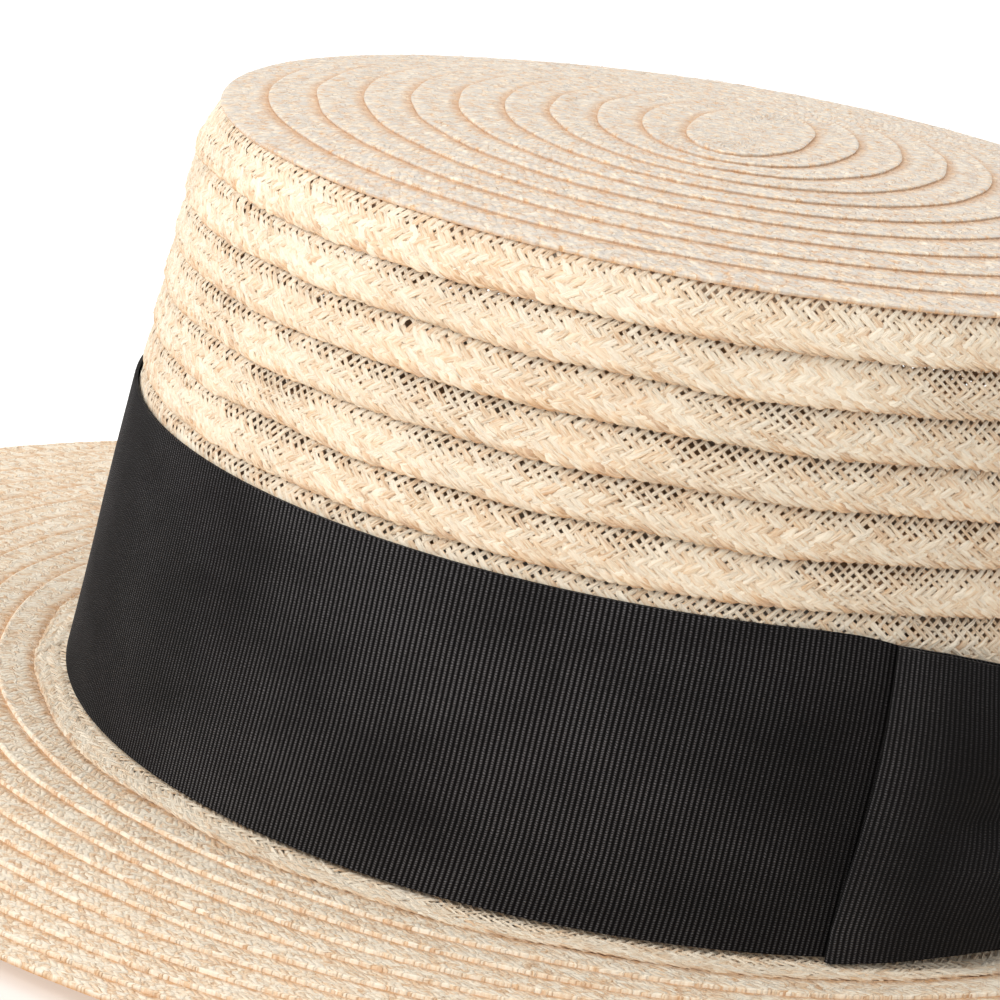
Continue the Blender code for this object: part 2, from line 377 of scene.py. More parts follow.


# Gray is how much of the dust colour is mixed in, which on the tip is also painted shade, shade how
# strong the painted brown shade on the steps is, depth the shift of all tones, which makes the brim
# paler as painted light, and size the scale of the pattern.
def braidFinish(name, dustAndShade, gray, shade, depth, size):
    n = Nodes(name)
    p = braidPattern
    uv, along, across = n.weaveMap()
    stray = n.calc("SUBTRACT", n.noise(n.stretch(uv, (0.45, 0.6, 1.0)), 1.0, 2.0), 0.5)
    stray = n.calc("MULTIPLY", stray, p["wander"])
    right = n.calc("DIVIDE", n.calc("ADD", along, stray), p["along"] * size)
    down = n.calc("DIVIDE", n.calc("ADD", across, n.calc("MULTIPLY", stray, 0.6)), p["across"] * size)
    one = n.calc("ADD", right, down)
    two = n.calc("SUBTRACT", right, down)
    oneCell = n.calc("FLOOR", one)
    twoCell = n.calc("FLOOR", two)
    turn = n.calc("FLOORED_MODULO", n.calc("SUBTRACT", oneCell, twoCell), 4.0)
    over = n.calc("LESS_THAN", turn, 1.5)

    def pick(first, second):
        return n.calc("ADD", second, n.calc("MULTIPLY", over, n.calc("SUBTRACT", first, second)))

    side = pick(n.calc("SUBTRACT", one, oneCell), n.calc("SUBTRACT", two, twoCell))
    onward = pick(two, one)
    number = pick(n.calc("ADD", oneCell, 0.37), twoCell)
    piece = n.calc("FLOOR", n.calc("DIVIDE", onward, p["straw"]))
    own = n.random(n.calc("ADD", number, n.calc("MULTIPLY", piece, 7.13)))
    place = {0: n.calc("MULTIPLY", onward, 0.7), 1: n.calc("MULTIPLY", side, 3.2), 2: number}
    fibre = n.noise(n.add("ShaderNodeCombineXYZ", inputs=place), 1.0, 3.0, 0.65)
    middle = n.calc("ABSOLUTE", n.calc("SUBTRACT", side, 0.5))
    # Painted shade: the borders of each strand are darker, as in the crevices between strands.
    rim = n.smooth(middle, 0.26, 0.50)
    speck = n.noise(n.stretch(uv, (0.9, 0.55, 1.0)), 1.0, 4.0, 0.7)
    blotch = n.noise(n.stretch(uv, (0.09, 0.3, 1.0)), 1.0, 2.0)
    tone = n.weighted((own, 0.56), (fibre, 0.50), (speck, 0.52), (rim, 0.22), (blotch, 0.20), (depth, 1.0))
    color = n.ramp(tone, strawTones)
    dustAndShadeNoise = n.noise(n.stretch(uv, (0.8, 0.7, 1.0)), 1.0, 3.0)
    color = n.mix(n.calc("MULTIPLY", dustAndShadeNoise, gray), color, strawColors[dustAndShade])
    edgeHighlightShade = n.add("ShaderNodeAttribute", 2, attribute_name="edgeHighlightShade")
    broken = n.noise(n.stretch(uv, (0.8, 0.5, 1.0)), 1.0, 3.0)
    # Painted shade: the step below each row's edge is coloured orange-brown, broken by noise.
    foot = n.calc("SUBTRACT", 1.0, n.smooth(across, p["stepShadeStart"], p["stepShadeEnd"]))
    foot = n.calc("MAXIMUM", foot, n.calc("MULTIPLY", edgeHighlightShade, -1.2))
    foot = n.calc("MULTIPLY", foot, n.calc("ADD", n.calc("MULTIPLY", broken, shade), 0.28), clamp=True)
    color = n.mix(foot, color, strawColors["orange"])
    # Painted highlight: the raised edge of each row is coloured pale.
    cord = n.calc("MULTIPLY", edgeHighlightShade, n.calc("SUBTRACT", 0.62, speck), clamp=True)
    color = n.mix(cord, color, strawColors["pale"])
    height = n.calc("POWER", n.calc("MULTIPLY", middle, 2.0), 2.0)
    height = n.calc("SUBTRACT", n.calc("MULTIPLY", fibre, 0.35), height)
    return n.done(color, 0.62, n.bump(height, 0.13 * mm), Specular_IOR_Level=0.3,
                  Sheen_Weight=0.12, Sheen_Roughness=0.5)


ribbonWeave = dict(
    pitch=0.74,        # mm from rib to rib
    thread=0.31,       # mm between the threads that cross a rib
    # colour of the painted highlight on the rib crests
    crest=(0.143, 0.137, 0.143),
)


# Black ribbed ribbon: rib crests made of crossing threads, painted grey as a highlight, over dark valleys.
# The painted highlight is duller in patches, and painted shade dulls it in the zones listed: start, full
# from, full to and end in millimetres along the ribbon, and how much duller.
def ribbonFinish(name, dark, shadeZones):
    n = Nodes(name)
    uv, along, across = n.weaveMap()
    crest = n.calc("COSINE", n.calc("MULTIPLY", along, 2 * math.pi / ribbonWeave["pitch"]))
    crest = n.calc("ADD", n.calc("MULTIPLY", crest, 0.5), 0.5)
    uneven = n.calc("MULTIPLY", n.noise(n.stretch(uv, (1.3, 0.5, 1.0)), 1.0, 2.0), 6.0)
    bead = n.calc("MULTIPLY", across, 2 * math.pi / ribbonWeave["thread"])
    bead = n.calc("SINE", n.calc("ADD", bead, uneven))
    bead = n.calc("ADD", n.calc("MULTIPLY", bead, 0.42), 0.58)
    patchy = n.noise(n.stretch(uv, (0.035, 0.06, 1.0)), 1.0, 3.0)
    fleck = n.noise(n.stretch(uv, (1.4, 2.6, 1.0)), 1.0, 2.0, 0.7)
    zoneShade = 1.0
    # Painted shade: in each listed zone the crests darken.
    for start, low, high, end, depth in shadeZones:
        zone = n.calc("SUBTRACT", n.smooth(along, start, low), n.smooth(along, high, end))
        zoneShade = n.calc("MULTIPLY", zoneShade, n.calc("SUBTRACT", 1.0, n.calc("MULTIPLY", zone, depth)))
    patch = n.calc("MULTIPLY", n.calc("ADD", n.calc("MULTIPLY", patchy, 0.9), 0.55), zoneShade)
    # Painted highlight on the crests.
    light = n.calc("MULTIPLY", n.calc("POWER", crest, 2.2), bead)
    patch = n.calc("MULTIPLY", patch, n.calc("ADD", n.calc("MULTIPLY", fleck, 0.8), 0.6))
    light = n.calc("MULTIPLY", light, patch, clamp=True)
    color = n.mix(light, dark, ribbonWeave["crest"])
    rough = n.calc("SUBTRACT", 0.8, n.calc("MULTIPLY", light, 0.2))
    height = n.calc("MULTIPLY", crest, bead)
    return n.done(color, rough, n.bump(height, 0.12 * mm), Specular_IOR_Level=0.08,
                  Sheen_Weight=0.02, Sheen_Roughness=0.4)


strandStraw = strandFinish()
# Tip and brim are one braid in two copies: the tip's darker and greyer as painted shade, the brim's paler
# as painted light, over a grey-beige dust tone.
tipStraw = braidFinish("straw_tip", "ash", gray=1.3, shade=0.75, depth=-0.31, size=1.3)
brimStraw = braidFinish("straw_brim", "gray", gray=0.34, shade=1.1, depth=-0.46, size=1.0)
# Painted shade on the band beside the bow and in a stretch further round; on the bow towards the knot and
# round the fold.
bandCloth = ribbonFinish("ribbon_cloth", (0.0022, 0.0019, 0.0020),
                         [(5, 40, 150, 185, 0.55), (395, 480, 500, 560, 0.48)])
# The bow's cloth is the band's, painted a lighter black: painted light.
bowCloth = ribbonFinish("bow_cloth", (0.0046, 0.0043, 0.0045),
                        [(-5, -1, 39, 47, 0.74), (40, 44, 60, 70, 0.34)])


# Rows of braid, from the middle of the tip out to the brim's edge
def rowEdges(first, last, pitch, place):
    count = max(2, round(abs(last - first) / pitch))
    return [place(first + (last - first) * k / count) for k in range(count + 1)]


coreOut = hat["tipCore"] - hat["halfWidth"]
shoulderOut = -hat["sideTaper"] - hat["shoulderInset"]
tipEdges = rowEdges(coreOut, shoulderOut, hat["tipRow"], lambda out: (out, float(tipHeight(out))))
sideEdges = rowEdges(hat["shoulder"], hat["foot"], hat["sideRow"], lambda z: (sideOut(z), z))
sideEdges[0] = tipEdges[-1]
brimEdges = rowEdges(hat["rootRow"], hat["brimWidth"], hat["brimRow"],
                     lambda out: (out, hat["brimThickness"]))

# Every row starts under the edge of the row before it.
tipRows = [makeRow((-hat["halfWidth"], hat["top"] + 0.02 * mm), tipEdges[0], 0)]
for upper, lower in zip(tipEdges, tipEdges[1:]):
    lap = hat["tipLap"] if len(tipRows) > 1 else 0.0
    tipRows.append(makeRow((upper[0], upper[1] - lap), lower, len(tipRows)))
sideRows = []
for upper, lower in zip(sideEdges, sideEdges[1:]):
    sideRows.append(makeRow((upper[0] - hat["sideLap"], upper[1]), lower, 20 + len(sideRows)))
brimRows = [makeRow((0.0, brimHigh[2] - hat["rootFall"]), brimEdges[0], 40)]
for upper, lower in zip(brimEdges, brimEdges[1:]):
    lap = hat["brimLap"] if len(brimRows) > 1 else hat["brimLap"] / 2
    brimRows.append(makeRow((upper[0], upper[1] - lap), lower, 40 + len(brimRows)))

# Braid of single strands. Crossing counts the strands met on the way down a row, across is
# the share of the row's width there, and wide is the strand's width in millimetres.
openWeave = makeTable("crossing across wide", [
    (-0.5, -0.20, 0.56),
    (1.0, -0.03, 0.60),
    (2.0, 0.095, 0.62),
    (3.0, 0.215, 0.65),
    (4.0, 0.325, 0.72),
    (5.0, 0.425, 0.82),
    (7.0, 0.600, 0.92),
    (9.0, 0.755, 0.94),
    (11.0, 0.890, 0.90),
    (12.0, 0.940, 0.84),
])
strand = dict(
    spacing=1.54 * mm,     # along the row
    thick=0.22 * mm,
    weaveLift=0.13 * mm,   # how far a strand rises over the ones it crosses
    edgeRoll=0.26 * mm,    # radius of the roll where strands turn round at the edge
    turnLength=2.0,        # crossings passed while a strand turns at the edge
    wander=0.19 * mm,
    opening=0.16,          # slow change of the strands' width along a row
    closing=0.09,          # how much wider they are on the closed side of the hat
    closed=0.57,           # share of the way round where that is
    upper=(1.18, 1.12, 1.07),  # wider strands in the first rows of the side
)

# A small snag in the straw: strands pushed away from one spot
snag = dict(row=22, share=0.699, across=0.22, radius=0.95 * mm, push=0.55 * mm)


# Strands that run down a row at a slant, turn round at its edge and run back up. A strand
# rises and falls by a cosine of its crossing number, so it passes over two and under two.
def strandRow(shell, row, table, seed, first=-0.5, bulge=0.30 * mm, roll=strand["edgeRoll"]):
    pick = np.random.default_rng(seed)
    count = round(row["length"] / strand["spacing"])
    number = np.arange(count)[:, None]
    column = {key: np.array([line[key] for line in table]) for key in table[0]}
    last = column["crossing"][-1]
    down = np.arange(first, last, 1.0)
    bend = np.array([0.25, 0.5, 0.75])
    crossing = np.concatenate([down, last + 0 * bend, down[::-1]])
    turned = strand["turnLength"]
    ahead = np.concatenate([down, last + turned * bend, 2 * last + turned - down[::-1]])
    slant = np.concatenate([1 + 0 * down, np.cos(math.pi * bend), -1 + 0 * down])
    sink = np.concatenate([0 * down, np.sin(math.pi * bend), 0 * down])
    across = np.interp(crossing, column["crossing"], column["across"])
    wide = np.interp(crossing, column["crossing"], column["wide"]) * mm
    near = np.clip((crossing - last + 2) / 2, 0, 1)
    lift = strand["weaveLift"] * slant * np.cos(math.pi / 2 * (crossing - 0.5)) * (1 - near)
    lift = lift + roll * slant * near
    lift = lift + bulge * np.sin(math.pi * np.clip(across, 0, 1))
    shape = (count, len(crossing))
    slow = pick.normal(0, 1, shape)
    slow = (slow + np.roll(slow, 1, 1) + np.roll(slow, 2, 1)) / 3
    own = pick.normal(0, 1, (count, 1))
    u = (number + 0.5 * ahead[None]) / count
    u = u + strand["wander"] * (0.8 * slow + 0.5 * own) / row["length"]
    v = across[None] * row["width"] + roll * sink[None]
    v = v + strand["wander"] * 0.35 * slow * (1 - near[None])
    if row["index"] == snag["row"]:
        du = (u - snag["share"]) * row["length"]
        dv = v - snag["across"] * row["width"]
        far = np.hypot(du, dv) + 1e-9
        move = snag["push"] * np.exp(-(far / snag["radius"]) ** 2) / far
        u = u + du * move / row["length"]
        v = v + dv * move
    h = lift[None] + 0.05 * mm * pick.normal(0, 1, (count, 1)) + 0 * v
    points, up = rowPlace(row, u, v, h)
    forward = np.gradient(points, axis=1)
    forward /= np.linalg.norm(forward, axis=2, keepdims=True)
    side = np.cross(forward, up)
    side /= np.linalg.norm(side, axis=2, keepdims=True)
    body = wide[None] * pick.uniform(0.80, 1.20, (count, 1)) * (1 + 0.10 * pick.normal(0, 1, shape))
    body = body * (1 + strand["opening"] * edgeWave(row["index"] + 10, u) / edgeWander["side"] / 2)
    body = body * (1 + strand["closing"] * np.cos(2 * math.pi * (u - strand["closed"])))
    if 20 <= row["index"] < 20 + len(strand["upper"]):
        body = body * strand["upper"][row["index"] - 20]
    tilt = 0.10 * pick.normal(0, 1, shape)[..., None]
    half = (side + up * tilt) * (body / 2)[..., None]
    rise = up * strand["thick"] / 2
    ring = np.stack([points - half - rise, points + rise, points + half - rise], axis=2)
    run = np.hypot(np.diff(ahead) * strand["spacing"] / 2, np.diff(across) * row["width"]) / mm
    run = np.concatenate([[0], np.cumsum(run)])
    uv = np.zeros((count, len(crossing) + 1, 4, 2))
    run = np.append(run, run[-1] + 1) - run[-1] / 2
    uv[..., 0] = run[None, :, None] + strandMap["length"] * (number[:, :, None] + 0.5)
    uv[..., 1] = strandMap["width"] * (number[:, :, None] + seed * 977)
    uv[..., 1] += strandMap["start"] + strandMap["step"] * np.arange(4)
    shell.addGrids(ring, uv, closeColumns=True, caps=True)


def strandPiece(name, node, jobs):
    shell = Shell()
    for job in jobs:
        strandRow(shell, *job)
    return dress(shell.finish(name, strandStraw), node)


openRows = [row for row in sideRows if row["start"][1] > bandHigh[2]]
jobs = [(row, openWeave, 10 + k, 1.5 if k == 0 else -0.5) for k, row in enumerate(openRows)]
strandPiece("crown_rows_upper", "crown", jobs[:3])
strandPiece("crown_rows_middle", "crown", jobs[3:5])
strandPiece("crown_rows_lower", "crown", jobs[5:])
strandPiece("brim_root_row", "brim", [(brimRows[0], openWeave, 40, -0.5, 0.0, 0.10 * mm)])
print("strands done")

# Dense rows. Across and lift give the section of a row, top face first: across as a share
# of its width and lift in millimetres out of the line from its start to its edge. Rope is
# how much of the twisted edge shows there, in relief and as a painted highlight, and below zero
# the painted shade under it.
rowSection = makeTable("across lift rope", [
    (-0.10, -0.05, 0.0),
    (0.25, 0.08, 0.0),
    (0.62, 0.10, 0.0),
    (0.86, 0.10, 0.1),
    (0.93, 0.16, 0.6),
    (0.985, 0.14, 0.6),
    (1.015, 0.00, 0.1),
    (1.00, -0.45, -1.0),
    (-0.10, -0.55, 0.0),
])
coreSection = makeTable("across lift rope", [
    (0.0, 0.00, 0.0),
    (0.5, 0.00, 0.0),
    (0.9, 0.00, 0.0),
    (1.05, -0.02, 0.0),
    (1.00, -0.45, 0.0),
    (0.0, -0.55, 0.0),
])
rope = dict(
    spacing=1.5 * mm,     # from one turn of the twisted edge to the next
    columns=2,            # columns of the mesh for each turn
    height=0.045 * mm,
)


# A strip of dense braid: its section carried round the oval, with the edge raised and
# lowered by a slanting sine so that it reads as a twisted cord. Under is the height of the
# strip's back, where it differs from the section.
def denseRow(shell, row, section, seed, columnSize=None, under=None):
    turns = round(row["length"] / rope["spacing"])
    columns = round(row["length"] / columnSize) if columnSize else turns * rope["columns"]
    pick = np.random.default_rng(500 + seed)
    share = np.arange(columns)[None] / columns
    across = np.array([line["across"] for line in section])[:, None]
    lift = np.array([line["lift"] for line in section])[:, None] * mm
    if under is not None:
        lift[lift < -0.4 * mm] = under
    twist = np.array([line["rope"] for line in section])[:, None]
    phase = 2 * math.pi * (turns * share + 1.1 * across * row["width"] / rope["spacing"])
    uneven = pick.normal(0, 1, (1, columns))
    uneven = (uneven + np.roll(uneven, 1, 1) + np.roll(uneven, -1, 1)) / 3
    lump = rope["height"] * np.maximum(twist, 0) * (np.sin(phase) + 0.9 * uneven)
    rough = 0.05 * mm * pick.normal(0, 1, (len(section), columns)) * ((lift > 0) & (twist < 0.5))
    v = across * row["width"] + lump * 0.6
    points = rowPlace(row, share + 0 * v, v, lift + lump + rough)[0]
    uv = np.zeros((len(section) + 1, columns + 1, 2))
    uv[..., 0] = np.linspace(0, row["length"] / mm, columns + 1)[None] + 700.0 * seed
    shift = 3.0 if row["index"] < 2 else 0.0       # no shade in the middle of the tip
    uv[..., 1] = np.append(across[:, 0], across[0, 0])[:, None] * row["width"] / mm + shift
    shell.addGrids(points[None], uv[None], closeRows=True, closeColumns=True)
    return np.broadcast_to(twist, (len(section), columns)).ravel()


def densePiece(name, node, rows, seed, section=rowSection, columnSize=None, under=None):
    shell = Shell()
    edgeLightValues = []
    for k, row in enumerate(rows):
        first = coreSection if row is tipRows[0] else section
        back = under[k] if under else None
        edgeLightValues.append(denseRow(shell, row, first, seed + k, columnSize, back))
    piece = dress(shell.finish(name, brimStraw if node == "brim" else tipStraw), node)
    # The rope values go on each point as the edge's painted highlight and painted shade.
    attribute = piece.data.attributes.new("edgeHighlightShade", "FLOAT", "POINT")
    attribute.data.foreach_set("value", np.concatenate(edgeLightValues).astype(np.float32))
    return piece


# The brim's rows are as deep as the solid, but the last three rise off the ground.
deep = hat["brimClear"] - (hat["brimThickness"] - hat["brimLap"] / 2)
densePiece("tip_rows", "crown", tipRows, 1)
densePiece("brim_rows_inner", "brim", brimRows[1:6], 60, under=[deep] * 5)
densePiece("brim_rows_outer", "brim", brimRows[6:], 70,
           under=[deep] * (len(brimRows) - 9) + [0.75 * deep, 0.5 * deep, -0.60 * mm])

# What lies behind: each row's own top, tucked under the row above, a strip behind the side's
# first row and the plain rows under the ribbon
tuckSection = makeTable("across lift rope", [
    (-0.58, 0.10, 0.0),
    (-0.20, 0.12, 0.0),
    (0.05, 0.02, 0.0),
    (0.05, -0.30, 0.0),
    (-0.58, -0.25, 0.0),
])
hiddenSection = makeTable("across lift rope", [
    (-0.40, 0.00, 0.0),
    (0.98, 0.00, 0.3),
    (1.00, -0.25, 0.3),
    (-0.40, -0.50, 0.0),
])
# The strip behind the side's first row carries rope below zero: it is painted with the shade of a step.
backSection = makeTable("across lift rope", [
    (-0.02, -0.42, -0.5),
    (0.45, -0.40, -0.3),
    (0.45, -0.60, -0.5),
    (-0.02, -0.62, -0.5),
])
densePiece("crown_row_laps", "crown", openRows[1:], 120, tuckSection, 1.5 * mm)
densePiece("crown_row_backing", "crown", openRows[:1], 135, backSection, 1.5 * mm)
densePiece("crown_rows_covered", "crown", sideRows[len(openRows):], 140, hiddenSection, 1.5 * mm)
print("dense rows done")

# Ribbon
ribbonData = dict(
    ribHeight=0.17 * mm,
    ribColumns=3,            # columns of the mesh for each rib
    thick=0.50 * mm,
    clear=0.35 * mm,         # from the line of the row edges to the ribbon's back
    edge=0.5 * mm,           # the ribs run out over this much at each selvedge
    leanLength=3.6 * mm,     # how far the ribs lean between the two selvedges, at its mean
    leanChange=2.2 * mm,     # how much that changes round the hat
    swayLength=0.15 * mm,
    dipLength=5.0 * mm,      # how far the bow's stitches draw the top selvedge down
    rows=(0.0, 0.012, 0.09, 0.24, 0.40, 0.56, 0.72, 0.87, 0.988, 1.0),
)
pitch = ribbonWeave["pitch"] * mm
bandMiddle = (bandLow[2] + bandHigh[2]) / 2


# Points at a distance along the band's foot, out from the line of the row edges, at height z.
def bandPlace(distance, out, z):
    length = ovalTurn(0.0, 0.0)[1]
    turn = ovalTurn(0.75 + distance / length, 0.0)[0]
    return ovalPoint(turn, out + sideOut(z), z)


# A rounded rib: one at its crest and zero in the valley, for a distance counted in ribs.
def ribShape(count):
    return np.abs(np.cos(math.pi * count)) ** 0.8


# How far the ribbon's top is drawn down at a distance from the front: a smooth step that
# starts before the bow's fold and is full near its knot.
def bandDip(distance):
    away = np.abs(distance - bow["place"]) / bow["half"]
    near = np.clip((1.22 - away) / 0.62, 0, 1)
    return ribbonData["dipLength"] * near * near * (3 - 2 * near)


# The ribbon round the crown. Its ribs lean by a parabola, most at the lower selvedge.
def makeBand():
    length = ovalTurn(0.0, 0.0)[1]
    ribs = round(length / pitch)
    columns = ribs * ribbonData["ribColumns"]
    share = (np.arange(columns) / columns)[None]
    height = bandHigh[2] - bandLow[2] - bandDip(share * length)
    up = np.array(ribbonData["rows"])[:, None]
    flat = np.clip(np.minimum(up, 1 - up) * height / ribbonData["edge"], 0, 1)
    front = ribbonData["clear"] + ribbonData["thick"]
    front = front + ribbonData["ribHeight"] * (ribShape(ribs * share) - 0.6) * (0.35 + 0.65 * flat)
    front = front + 0.06 * mm * np.sin(2 * math.pi * (3 * share + up * 1.3))
    lean = ribbonData["leanLength"] + ribbonData["leanChange"] * np.cos(4 * math.pi * (share - 0.06))
    sway = lean * (up - up * up / 2)
    sway = sway + ribbonData["swayLength"] * np.sin(2 * math.pi * (1.2 * up + 5 * share))
    outer = bandPlace(share * length + sway, front, bandLow[2] + height * up)
    inUp = np.array([1.0, 0.6, 0.2, 0.0])[:, None]
    inner = bandPlace(share * length + 0 * inUp, ribbonData["clear"] + 0 * share,
                      bandLow[2] + height * inUp)
    points = np.concatenate([outer, inner])
    across = np.concatenate([up[:, 0], inUp[:, 0], [-0.1]]) * (bandHigh[2] - bandLow[2]) / mm
    uv = np.zeros((len(points) + 1, columns + 1, 2))
    uv[..., 0] = np.linspace(0, ribs * ribbonWeave["pitch"], columns + 1)[None]
    uv[..., 1] = across[:, None]
    shell = Shell()
    shell.addGrids(points[None], uv[None], closeRows=True, closeColumns=True)
    piece = dress(shell.finish("ribbon_band", bandCloth), "hat_band")


bow = dict(
    place=95.0 * mm,         # along the band from the front to the knot's middle
    half=50.0 * mm,          # knot's middle to the fold of a loop
    height=41.4 * mm,
    puff=2.6 * mm,
    crease=2.7 * mm,
    creasePlace=0.62,        # share of the loop's height at the knot
    creaseRise=-0.22,        # change of that by the fold
    creaseSpread=0.10,
    creaseEnd=0.92,          # the crease runs out at this share of the loop's length
    thick=0.45 * mm,
    back=1.15 * mm,          # back layer, out from the line of the row edges
    frontAtFold=2.45 * mm,
    frontAtKnot=3.60 * mm,
    tucked=2.0 * mm,         # where the layers end under the knot
    ribBulge=1.9 * mm,       # how far the ribs bow towards the knot at mid height
    ribColumns=3,
    knotWidth=18.0 * mm,
    knotCrown=1.1 * mm,
)
makeBand()

# Shape of a loop from the knot to its fold: top and bottom in millimetres from the ribbon's
# middle, and share of the puff
loopShape = makeTable("along top bottom puff", [
    (0.00, 15.4, -15.4, 0.00),
    (0.16, 15.6, -16.6, 0.25),
    (0.30, 15.8, -18.0, 0.80),
    (0.42, 16.2, -19.2, 1.00),
    (0.56, 17.1, -19.9, 0.95),
    (0.68, 18.1, -20.3, 0.80),
    (0.84, 19.2, -21.0, 0.35),
    (1.00, 20.0, -21.4, 0.00),
])

# Lean of the fold: share of the loop's height, and reach as a share of the half length
foldLean = makeTable("height reach", [
    (0.00, 1.048),
    (0.08, 1.048),
    (0.20, 1.032),
    (0.40, 1.005),
    (0.60, 0.982),
    (0.80, 0.978),
    (1.00, 0.984),
])


def tableCurve(table, key, value, x):
    return np.interp(x, [line[key] for line in table], [line[value] for line in table])


# Makes a folded sheet from two grids of points: its outer face, row by row along the ribbon,
# and its inner face in the same order.
def sheetShell(outer, inner, along, across):
    ring = np.concatenate([outer, inner[::-1]])
    uv = np.zeros((len(ring) + 1, ring.shape[1] + 1, 2))
    uv[..., 0] = np.concatenate([along, along[::-1], along[:1]])[:, None]
    uv[..., 1] = np.append(across, across[-1] + 1)[None]
    shell = Shell()
    shell.addGrids(ring[None], uv[None], closeRows=True, edges=True)
    return shell


# A ribbon folded back on itself: the front layer swells away from the band and carries the
# crease, the fold is half a circle, and the back layer lies flat. Ribs follow the fold's lean.
def bowLoop(name, node, side):
    up = np.array([0.0, 0.015, 0.10, 0.20, 0.30, 0.38, 0.46, 0.54, 0.64, 0.76, 0.88, 0.985, 1.0])[None]
    fold = bow["half"] * tableCurve(foldLean, "height", "reach", up)
    radius = (bow["frontAtFold"] - bow["back"]) / 2
    ribs = round((bow["half"] - bow["tucked"]) / pitch)
    along = (np.arange(ribs * bow["ribColumns"] + 1) / (ribs * bow["ribColumns"]))[:, None]
    top = tableCurve(loopShape, "along", "top", along) * mm
    bottom = tableCurve(loopShape, "along", "bottom", along) * mm
    puff = tableCurve(loopShape, "along", "puff", along)
    puff = (puff + np.roll(puff, 3) + np.roll(puff, -3)) / 3
    puff[:3] = puff[-3:] = 0
    flat = np.clip(np.minimum(up, 1 - up) / 0.012, 0.3, 1)
    rib = ribbonData["ribHeight"] * (ribShape(ribs * along) - 0.6) * flat
    place = bow["creasePlace"] + bow["creaseRise"] * along
    crease = bow["crease"] * np.exp(-((up - place) / bow["creaseSpread"]) ** 2)
    face = bow["frontAtKnot"] + (bow["frontAtFold"] - bow["frontAtKnot"]) * along ** 0.8
    near = np.clip((bow["creaseEnd"] - along) / bow["creaseEnd"], 0, 1)
    crease = crease * np.minimum(4 * near, 1)
    face = face + puff * (bow["puff"] * np.sin(math.pi * (0.08 + 0.84 * up)) - crease)
    ripple = 0.12 * mm * np.sin(2 * math.pi * (2.3 * up + 1.7 * along)) * (1 - along)
    bulge = bow["ribBulge"] * np.sin(math.pi * along) * np.sin(math.pi * up) ** 2
    distance = bow["tucked"] + (fold - radius - bow["tucked"]) * along - bulge
    bend = np.linspace(0, math.pi, 8)[1:-1, None]
    middle = bow["back"] + radius
    outDistance = np.concatenate([distance, fold - radius + radius * np.sin(bend), distance[::-1]])
    outFace = np.concatenate([face + rib + ripple, middle + radius * np.cos(bend) + 0 * up,
                              bow["back"] + 0 * distance])
    small = radius - bow["thick"]
    inDistance = np.concatenate([distance, fold - radius + small * np.sin(bend), distance[::-1]])
    inFace = np.concatenate([face + ripple - bow["thick"], middle + small * np.cos(bend) + 0 * up,
                             bow["back"] + bow["thick"] + 0 * distance])
    top = np.concatenate([top, top[-1] + 0 * bend, top[::-1]])
    bottom = np.concatenate([bottom, bottom[-1] + 0 * bend, bottom[::-1]])
    z = bandMiddle + bottom + (top - bottom) * up
    outer = bandPlace(bow["place"] + side * outDistance, outFace, z)
    inner = bandPlace(bow["place"] + side * inDistance, inFace, z)
    length = ribs * ribbonWeave["pitch"]
    fold = 3 * ribbonWeave["pitch"]
    u = np.concatenate([along[:, 0] * length, length + fold * np.arange(1, 7) / 7,
                        (2 - along[::-1, 0]) * length + fold])
    shell = sheetShell(outer, inner, u, up[0] * bow["height"] / mm)
    piece = dress(shell.finish(name, bowCloth), node)


# The strip over the middle: it comes off the band, over the loops' edges and down their front.
# Its path is a box with rounded corners in (out, z), and its ribs lie across it.
def bowKnot():
    low = bow["back"]
    halfHeight = loopShape[0]["top"] * mm + 0.4 * mm
    face = bow["frontAtKnot"] + 0.25 * mm
    corner = 1.2 * mm
    bend = np.linspace(0, math.pi / 2, 6)
    rise = face - low - corner
    ribs = round(2 * halfHeight / pitch)
    straight = np.linspace(1, -1, ribs * bow["ribColumns"] + 1) * (halfHeight - corner)
    across = np.linspace(-1, 1, 11)[None]

    def path(grow, relief):
        cornerOut = low + rise + (corner + grow) * np.sin(bend)
        cornerZ = halfHeight - corner + (corner + grow) * np.cos(bend)
        out = np.concatenate([[low], cornerOut[:-1], face + grow + 0 * straight, cornerOut[-2::-1],
                              [low]])
        z = np.concatenate([[halfHeight + grow], cornerZ[:-1], straight, -cornerZ[-2::-1],
                            [-halfHeight - grow]])
        count = np.arange(len(straight)) / bow["ribColumns"]
        extra = np.concatenate([0 * bend, ribShape(count) - 0.6, 0 * bend]) * relief
        dome = np.concatenate([0 * bend, 1 + 0 * straight, 0 * bend])
        dome = np.convolve(np.pad(dome, 6, mode="edge"), np.ones(13) / 13, mode="valid") * dome
        return out[:, None], z[:, None], extra[:, None], dome[:, None]

    def grid(grow, relief):
        out, z, extra, dome = path(grow, relief)
        pinch = 1 - 0.06 * np.cos(math.pi * z / (2 * halfHeight)) ** 2
        out = out + extra + bow["knotCrown"] * dome * (1 - across ** 2)
        distance = bow["place"] + bow["knotWidth"] / 2 * across * pinch
        return bandPlace(distance, out, bandMiddle + z + 0 * across)

    outer = grid(bow["thick"], ribbonData["ribHeight"])
    inner = grid(0.0, 0.0)
    along = np.concatenate([np.arange(6) * 0.28, 1.7 + np.arange(len(straight)) * ribbonWeave["pitch"] / 3,
                            1.7 + len(straight) * ribbonWeave["pitch"] / 3 + np.arange(6) * 0.28])
    shell = sheetShell(outer, inner, along, (across[0] + 1) * bow["knotWidth"] / 2 / mm)
    piece = dress(shell.finish("bow_strip", bowCloth), "bow_knot")


